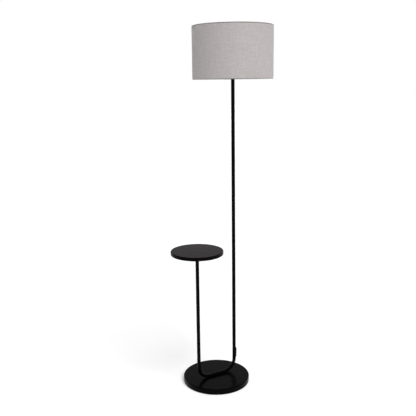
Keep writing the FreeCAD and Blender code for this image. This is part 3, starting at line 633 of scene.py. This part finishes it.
def makeDrumCloth(c):
    # angle runs once round and on over the lap, where the strip's end lies one thickness outside its start;
    # every point moves along the section's normal by that lift and by a slow ripple
    low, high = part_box("shade_fabric")
    wireLow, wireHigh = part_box("shade_top_ring")
    linerLow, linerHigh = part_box("shade_liner")
    linerInner = (linerHigh.x - linerLow.x) / 2 - c["linerWall"]
    wireInner = (wireHigh.x - wireLow.x) / 2 - (wireHigh.z - wireLow.z)
    outer = (high.x - low.x) / 2
    centre = ((low.x + high.x) / 2, (low.y + high.y) / 2)
    radius, height = drumProfile(c, outer, low.z, high.z, wireInner, linerInner)
    slopeR, slopeZ = np.gradient(radius), np.gradient(height)
    size = np.hypot(slopeR, slopeZ)
    normalR, normalZ = slopeZ / size, -slopeR / size
    roundColumns = 360 * c["stepsPerDegree"]
    column = np.arange(roundColumns + c["lapColumns"] + 1)
    angle = math.radians(c["lapAngle"]) + 2 * math.pi * column / roundColumns
    lift = eased((column - roundColumns) / c["lapRamp"] + 1.0) * (c["thickness"] + c["lapGap"])
    push = lift[None, :] + slowRipple(c, angle, (height - low.z) / (high.z - low.z))
    r = radius[:, None] + normalR[:, None] * push
    z = height[:, None] + normalZ[:, None] * push
    points = np.stack((centre[0] + r * np.cos(angle), centre[1] + r * np.sin(angle), z), axis=-1)
    walked = np.concatenate(([0.0], np.cumsum(np.hypot(np.diff(radius), np.diff(height)))))
    flat = np.broadcast_arrays((column / column[-1])[None, :], (walked / walked[-1])[:, None])
    # slits in the lower turned edge, where the spider's arms reach the ring
    middleAngle = (angle[:-1] + angle[1:]) / 2
    keep = np.ones((len(radius) - 1, len(column) - 1), dtype=bool)
    slitRows = np.arange(len(radius) - 1) < c["turnRows"] + c["slitRollRows"]
    for armAngle in c["armAngles"]:
        off = (middleAngle - math.radians(armAngle) + math.pi) % (2 * math.pi) - math.pi
        keep &= ~(slitRows[:, None] & (np.abs(off) * outer < c["slit"])[None, :])
    cloth = surfaceMesh("shadeCloth", points, np.stack(flat, axis=-1), closed=False, keep=keep)
    thicken(cloth, c["thickness"], 0.0)
    length = (angle[-1] - angle[0]) * (outer - c["thickness"] / 2)
    print(f"cloth's section {walked[-1]:.4f} m, strip {length:.4f} m")
    cloth.data.materials.append(linen(linenWeave))
    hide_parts("shade_fabric")
    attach(cloth, "shade")


linenWeave = {
    "strip": (1.125, 0.250, 1.0),                # metres that the UV map spans
    "pale": (0.546, 0.513, 0.505), "deep": (0.346, 0.3215, 0.3155), "toneSpan": (0.52, 1.0),
    "lips": (0.054, 0.937),                      # where the strip folds over the wires
    "lipWidth": 0.013, "lipPaintedShade": 0.38,         # how far and how much painted shade darkens the folds
    "threads": 1150.0,                           # threads per metre, both ways
    "threadBend": 1.2, "threadBends": 0.35,      # how much a thread wanders, and how often
    "slubWide": 230.0, "slubLong": 20.0,         # thick threads: per metre across and along
    "slubNoise": (1.0, 3.0, 0.65),
    "fine": (2.0, 0.6),                          # detail and roughness, at the threads' scale
    "cloudy": (130.0, 3.0, 0.6),                 # uneven dye
    "slubTone": 0.36, "cloudTone": 0.28, "fineTone": 0.35, "threadTone": 0.10,       # what each adds
    "slubRise": 0.8, "rise": 0.3,                # height of slubs over threads, and of both
    "depth": 0.00022, "roughness": 0.92, "specular": 0.12, "sheen": 0.12,
}


def paintedFoldShade(material, colour, w):
    # painted shade on the folds where the strip turns over the wires: the colour times a factor of the height
    # on the strip
    split = node(material, "ShaderNodeSeparateXYZ")
    link(material, node(material, "ShaderNodeUVMap", uv_map="cloth").outputs["UV"], split.inputs[0])
    shades = []
    for lip in w["lips"]:
        off = combine(material, "SUBTRACT", split.outputs["Y"], lip)
        off = combine(material, "ABSOLUTE", off, 0.0)
        shades.append(between(material, off, w["lipPaintedShade"], 1.0, 0.0, w["lipWidth"]))
    darker = node(material, "ShaderNodeVectorMath", operation="SCALE")
    link(material, colour, darker.inputs[0])
    link(material, combine(material, "MINIMUM", *shades), darker.inputs["Scale"])
    return darker.outputs[0]


def linen(w):
    # plain weave: two sets of even threads, uneven in tone, with thick slubs both ways
    material = finish("greyLinen", w["pale"], w["roughness"], specular=w["specular"], sheen=w["sheen"])
    flat = places(material, w["strip"], "cloth")
    weave = []
    for way in ("X", "Y"):
        wave = node(material, "ShaderNodeTexWave", bands_direction=way)
        wave.inputs["Scale"].default_value = w["threads"] * 2 * math.pi / 20     # the node's sine is of 20 x
        wave.inputs["Distortion"].default_value = w["threadBend"]
        wave.inputs["Detail Scale"].default_value = w["threadBends"]
        link(material, flat, wave.inputs["Vector"])
        weave.append(wave.outputs["Fac"])
    slubs = []
    for perMetre in ((w["slubLong"], w["slubWide"]), (w["slubWide"], w["slubLong"])):
        stretch = (w["strip"][0] * perMetre[0], w["strip"][1] * perMetre[1], 1.0)
        slubs.append(noise(material, places(material, stretch, "cloth"), *w["slubNoise"]))
    threads = combine(material, "ADD", *weave)
    thick = combine(material, "ADD", *slubs)
    tone = combine(material, "MULTIPLY", thick, w["slubTone"])
    for pattern, share in (
            (noise(material, flat, *w["cloudy"]), w["cloudTone"]),
            (noise(material, flat, w["threads"], *w["fine"]), w["fineTone"]),
            (threads, w["threadTone"])):
        tone = combine(material, "ADD", tone, combine(material, "MULTIPLY", pattern, share))
    # the folds over the wires get painted shade
    colour = paintedFoldShade(material, tint(material, tone, w["deep"], w["pale"], *w["toneSpan"]), w)
    height = combine(material, "ADD", threads, combine(material, "MULTIPLY", thick, w["slubRise"]))
    return dress(material, colour, None, combine(material, "MULTIPLY", height, w["rise"]), w["depth"])


makeDrumCloth(drumCloth)
print("shade's cloth made")


# the base's cover, pressed from sheet: a flat disc with a round shoulder, and a seat under the tube's run
pressedCover = {
    "wall": 0.0012,
    "shoulder": 0.003,           # round of the outer edge
    "seatGap": 0.00015,          # tube to its seat
    "bendRadius": 0.056,         # of the tube's centreline
    "softEdge": 0.003,           # over which the seat's edge is drawn round
    "spine": 0.0524,             # half length of the line under the run that the rings go round
    "ringStep": 0.0005, "rings": 25,
    "aimOffset": 0.040,          # the ring whose points face the same way as the rim's
    "spreadRows": 12, "shoulderRows": 8, "wallRows": 4,
    "sideColumns": 100, "endColumns": 80,
}


def ringRound(c, offset):
    # once round a line of half length spine, at this distance from it: side, half circle, side, half circle
    side = np.linspace(c["spine"], -c["spine"], c["sideColumns"], endpoint=False)
    turn = math.pi / 2 + np.linspace(0.0, math.pi, c["endColumns"], endpoint=False)
    x = np.concatenate((side, -c["spine"] + offset * np.cos(turn), -side, c["spine"] - offset * np.cos(turn)))
    y = np.concatenate((np.full(len(side), offset), offset * np.sin(turn)))
    return np.stack((x, np.concatenate((y, -y))), axis=-1)


def seatedTop(c, x, y, top, tubeRadius, runHeight, straight):
    # the lower of the flat top and the underside of a pipe one gap wider than the tube, which runs straight
    # and then up round both bends; where the two meet, the lower one dips by up to a quarter of softEdge
    half = np.sqrt(np.maximum((tubeRadius + c["seatGap"]) ** 2 - y ** 2, 0.0))
    past = np.maximum(np.abs(x) - straight, 0.0)
    under = (c["bendRadius"] + half) ** 2 - past ** 2
    pipe = runHeight + c["bendRadius"] - np.sqrt(np.maximum(under, 0.0))
    pipe = np.where((half > 0.0) & (under > 0.0), pipe, np.inf)
    near = np.maximum(c["softEdge"] - np.abs(top - pipe), 0.0) / c["softEdge"]
    return np.minimum(top, pipe) - near ** 2 * c["softEdge"] / 4


def makePressedCover(c):
    # rows go up the wall, over the shoulder's quarter circle and in over the top: circles that change into
    # rings round the tube's run, which close on the line under it
    low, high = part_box("base_cover")
    tubeLow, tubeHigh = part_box("u_tube")
    tubeRadius = (tubeHigh.y - tubeLow.y) / 2
    middle = np.array([(tubeLow.x + tubeHigh.x) / 2, (tubeLow.y + tubeHigh.y) / 2])
    straight = (tubeHigh.x - tubeLow.x) / 2 - tubeRadius - c["bendRadius"]
    rim = (high.x - low.x) / 2
    aimed = ringRound(c, c["aimOffset"]) + middle
    aimed = aimed / np.linalg.norm(aimed, axis=1)[:, None]
    turn = np.linspace(0.0, math.pi / 2, c["shoulderRows"], endpoint=False)
    wallZ = np.linspace(low.z, high.z - c["shoulder"], c["wallRows"], endpoint=False)
    radius = np.concatenate((np.full(len(wallZ), rim), rim - c["shoulder"] * (1 - np.cos(turn))))
    height = np.concatenate((wallZ, high.z - c["shoulder"] * (1 - np.sin(turn))))
    level = np.broadcast_to(height[:, None, None], (len(height), len(aimed), 1))
    edge = np.concatenate((radius[:, None, None] * aimed[None], level), axis=-1)
    inner = np.stack([ringRound(c, c["ringStep"] * k) + middle for k in range(c["rings"] - 1, -1, -1)])
    share = np.linspace(0.0, 1.0, c["spreadRows"], endpoint=False)[:, None, None]
    spread = aimed[None] * (rim - c["shoulder"]) * (1 - share) + inner[0][None] * share
    flat = np.concatenate((spread, inner))
    x, y = flat[..., 0] - middle[0], flat[..., 1] - middle[1]
    z = seatedTop(c, x, y, high.z, tubeRadius, tubeLow.z + tubeRadius, straight)
    points = np.concatenate((edge, np.concatenate((flat, z[..., None]), axis=-1)))
    cover = surfaceMesh("pressedCover", points)
    mergeDoubles(cover)
    thicken(cover, c["wall"], -1.0)
    cover.data.materials.append(finishes["black_paint"])
    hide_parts("base_cover")
    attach(cover, "stand")


makePressedCover(pressedCover)
print("base's cover pressed")


# the lap of the shade's liner: one end of the film lies on the other, inside, between the turned edges
linerLap = {
    "width": 0.011, "thickness": 0.00035,
    "gap": 0.00002,              # to the liner
    "endGap": 0.0108,            # from the shade's ends to the lap's
    "angle": 67.0,               # degrees from +X
    "squareness": 0.35, "rows": 30, "columns": 28,
}


def makeLinerLap(c):
    # a section near a rectangle, cosine and sine to the power squareness, is carried up along the liner's
    # inner face; its first and last rows are pressed flat, which closes the ends
    low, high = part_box("shade_liner")
    shadeLow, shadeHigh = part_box("shade_fabric")
    inner = (high.x - low.x) / 2 - drumCloth["linerWall"]
    turn = np.linspace(2 * math.pi, 0.0, c["columns"], endpoint=False)
    wide = np.sign(np.cos(turn)) * np.abs(np.cos(turn)) ** c["squareness"] * c["width"] / 2
    thick = np.sign(np.sin(turn)) * np.abs(np.sin(turn)) ** c["squareness"] * c["thickness"] / 2
    z = np.linspace(shadeLow.z + c["endGap"], shadeHigh.z - c["endGap"], c["rows"])
    z = np.concatenate((z[:1], z, z[-1:]))[:, None]
    full = np.ones_like(z)
    full[0] = full[-1] = 0.0
    radius = inner - c["gap"] - c["thickness"] / 2 + full * thick
    angle = math.radians(c["angle"]) + wide / inner
    x = (low.x + high.x) / 2 + radius * np.cos(angle)
    y = (low.y + high.y) / 2 + radius * np.sin(angle)
    lap = surfaceMesh("linerLap", np.stack(np.broadcast_arrays(x, y, z), axis=-1))
    mergeDoubles(lap)
    lap.data.materials.append(finishes["white_liner"])
    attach(lap, "shade")


makeLinerLap(linerLap)
print("liner lapped")


# the screws under the table: pan heads, downwards, with a cross pressed into each
panScrews = {
    "headRadius": 0.0040, "shankRadius": 0.0020, "tipLength": 0.004,
    "roundFrom": 0.86,           # share of the head's radius where its face turns round
    "slotHalf": 0.00050,         # half width of the cross's arms
    "slotSlope": 0.00022,        # over which their sides fall
    "slotReach": 0.0023, "slotDepth": 0.0014,
    "slotRise": 0.6,             # share of an arm over which its floor rises
    "faceRows": 44, "roundRows": 10, "columns": 96,
}


def crossDepth(c, x, y):
    # two arms that cross: each is deep in the middle and rises in a straight line to nothing at its ends
    def arm(side, along):
        wall = 1.0 - eased((np.abs(side) - c["slotHalf"]) / c["slotSlope"])
        floor = np.clip((1.0 - np.abs(along) / c["slotReach"]) / c["slotRise"], 0.0, 1.0)
        return wall * floor * c["slotDepth"]
    return np.maximum(arm(x, y), arm(y, x))


def makePanScrews(c):
    # turned about Z: out over the head's face, whose depth is head * sqrt(1 - share ** 4) at that share of
    # the radius, round its edge, in to the shank and up to the tip; the cross lifts the face
    low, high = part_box("table_screws")
    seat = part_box("table_flange")[0].z
    head = seat - low.z
    share = np.linspace(0.0, c["roundFrom"], c["faceRows"], endpoint=False)
    start = math.asin(c["roundFrom"] ** 2)
    share = np.concatenate((share, np.sqrt(np.sin(np.linspace(start, math.pi / 2, c["roundRows"])))))
    depth = head * np.sqrt(np.maximum(1.0 - share ** 4, 0.0))
    shank = c["shankRadius"]
    radius = np.concatenate((share * c["headRadius"], (shank, shank, 0.0)))
    height = np.concatenate((seat - depth, (seat, high.z - c["tipLength"], high.z)))
    angle = np.linspace(0.0, 2 * math.pi, c["columns"], endpoint=False)
    x, y = radius[:, None] * np.cos(angle), radius[:, None] * np.sin(angle)
    lift = crossDepth(c, x, y)
    lift[len(share):] = 0.0
    points = np.stack((x, y, height[:, None] + lift), axis=-1)
    middle = ((low.x + high.x) / 2, (low.y + high.y) / 2)
    out = (high.x - low.x) / 2 - c["headRadius"]
    spots = [(middle[0] + out * i, middle[1] + out * j, 0.0) for i in (-1, 1) for j in (-1, 1)]
    screws = surfaceMesh("panScrews", points, spots=spots)
    mergeDoubles(screws)
    screws.data.materials.append(finishes["zinc_steel"])
    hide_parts("table_screws")
    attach(screws, "stand")


makePanScrews(panScrews)
print("screws made")


# the moulding where the lead leaves the post: two lobes that grow out of the tube, the lower one ribbed
leadGland = {
    "seatGap": 0.00005,          # to the tube
    "upperRadius": 0.0050, "lowerRadius": 0.0044,
    "lowerLength": 0.016,        # from the mouth to the waist
    "neck": 0.0006,              # how softly the lobes run into each other
    "grooves": 6, "grooveStep": 0.0022, "firstGroove": 0.0026,
    "grooveDepth": 0.00030, "grooveWidth": 0.00042,
    "rim": 0.0002,               # round of the mouth's edge
    "holePlace": 0.0099,         # its middle from the post's
    "holeThick": 0.00155, "holeWide": 0.0027,        # half of each
    "holeDepth": 0.0064,         # just past the lead's end
    "sharpFrom": 50.0,           # degrees between faces that meet in an edge
    "ribbedRows": 110, "plainRows": 8, "tipRows": 24, "rimRows": 5, "holeRows": 6,
    "outerColumns": 48, "seatColumns": 24,
}


def glandRadius(c, height, length):
    # the larger of the upper rod's radius, with round ends, and the lower rod's, which meet in a soft neck;
    # the grooves are bell curves of the height
    middle = (c["lowerLength"] + length) / 2
    straight = (length - c["lowerLength"]) / 2 - c["upperRadius"]
    past = np.maximum(np.abs(height - middle) - straight, 0.0)
    upper = np.sqrt(np.maximum(c["upperRadius"] ** 2 - past ** 2, 0.0))
    lower = np.where(height < middle, c["lowerRadius"], -1.0)       # none above
    soft = np.maximum(c["neck"] - np.abs(upper - lower), 0.0) ** 2 / (4 * c["neck"])    # neck / 4 at most
    groove = c["firstGroove"] + c["grooveStep"] * np.arange(c["grooves"])
    bells = np.exp(-(((height[:, None] - groove) / c["grooveWidth"]) ** 2)).sum(axis=1)
    return np.maximum(upper, lower) + soft - c["grooveDepth"] * bells


def glandRings(swing, back, tube, out, radius):
    # each ring is the part of a circle, its middle out from the post's, that lies outside the tube: round its
    # outer side from one crossing to the other, then back along the tube
    apart = (tube ** 2 + out ** 2 - radius ** 2) / (2 * out)
    half = np.sqrt(np.maximum(tube ** 2 - apart ** 2, 0.0))
    outer = np.arctan2(half, apart - out)[:, None] * swing
    seat = np.arctan2(half, apart)[:, None] * back
    x = np.concatenate((out + radius[:, None] * np.cos(outer), tube * np.cos(seat)), axis=1)
    y = np.concatenate((radius[:, None] * np.sin(outer), tube * np.sin(seat)), axis=1)
    return x, y


def makeLeadGland(c):
    # rows start at the middle of the hole's floor, go down the hole, an oblong with round ends, out over the
    # mouth, round its edge and up the lobes to where the upper one runs out on the tube
    low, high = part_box("cord_gland")
    postLow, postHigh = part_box("post_upper")
    middle = ((postLow.x + postHigh.x) / 2, (postLow.y + postHigh.y) / 2)
    tube = (postHigh.x - postLow.x) / 2 + c["seatGap"]
    out = high.x - middle[0] - c["upperRadius"]
    length = high.z - low.z
    ribsEnd = c["lowerLength"] + c["upperRadius"]
    tipStart = length - c["upperRadius"]
    tip = np.linspace(math.pi / 2, math.asin((tube - out) / c["upperRadius"]), c["tipRows"])
    height = np.concatenate((
        np.linspace(c["rim"], ribsEnd, c["ribbedRows"], endpoint=False),
        np.linspace(ribsEnd, tipStart, c["plainRows"], endpoint=False),
        tipStart + c["upperRadius"] * np.cos(tip),
    ))
    radius = glandRadius(c, height, length)
    turn = np.linspace(0.0, math.pi / 2, c["rimRows"], endpoint=False)
    radius = np.concatenate((radius[0] - c["rim"] * (1 - np.sin(turn)), radius))
    height = np.concatenate((c["rim"] * (1 - np.cos(turn)), height))
    swing = np.linspace(-1.0, 1.0, c["outerColumns"], endpoint=False)
    back = np.linspace(1.0, -1.0, c["seatColumns"], endpoint=False)
    x, y = glandRings(swing, back, tube, out, radius)
    around = np.concatenate((swing, 2 - back)) * math.pi / 2
    size = np.minimum(np.arange(c["holeRows"] + 1), 1)[:, None]      # 0 in the floor's middle, then 1
    endAway = (c["holeWide"] - c["holeThick"]) * np.sign(np.sin(around).round(9))    # rounded, so 0 is met
    holeX = c["holePlace"] + size * c["holeThick"] * np.cos(around)
    holeY = size * (c["holeThick"] * np.sin(around) + endAway)
    holeHeight = np.concatenate(([c["holeDepth"]], np.linspace(c["holeDepth"], 0.0, c["holeRows"])))
    x, y = np.concatenate((holeX, x)), np.concatenate((holeY, y))
    z = low.z + np.concatenate((holeHeight, height))[:, None]
    points = np.stack(np.broadcast_arrays(middle[0] + x, middle[1] + y, z), axis=-1)
    gland = surfaceMesh("leadGland", points)
    mergeDoubles(gland)
    gland.data.set_sharp_from_angle(angle=math.radians(c["sharpFrom"]))
    gland.data.materials.append(finishes["black_rubber"])
    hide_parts("cord_gland")
    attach(gland, "stand")


makeLeadGland(leadGland)
print("lead's gland made")
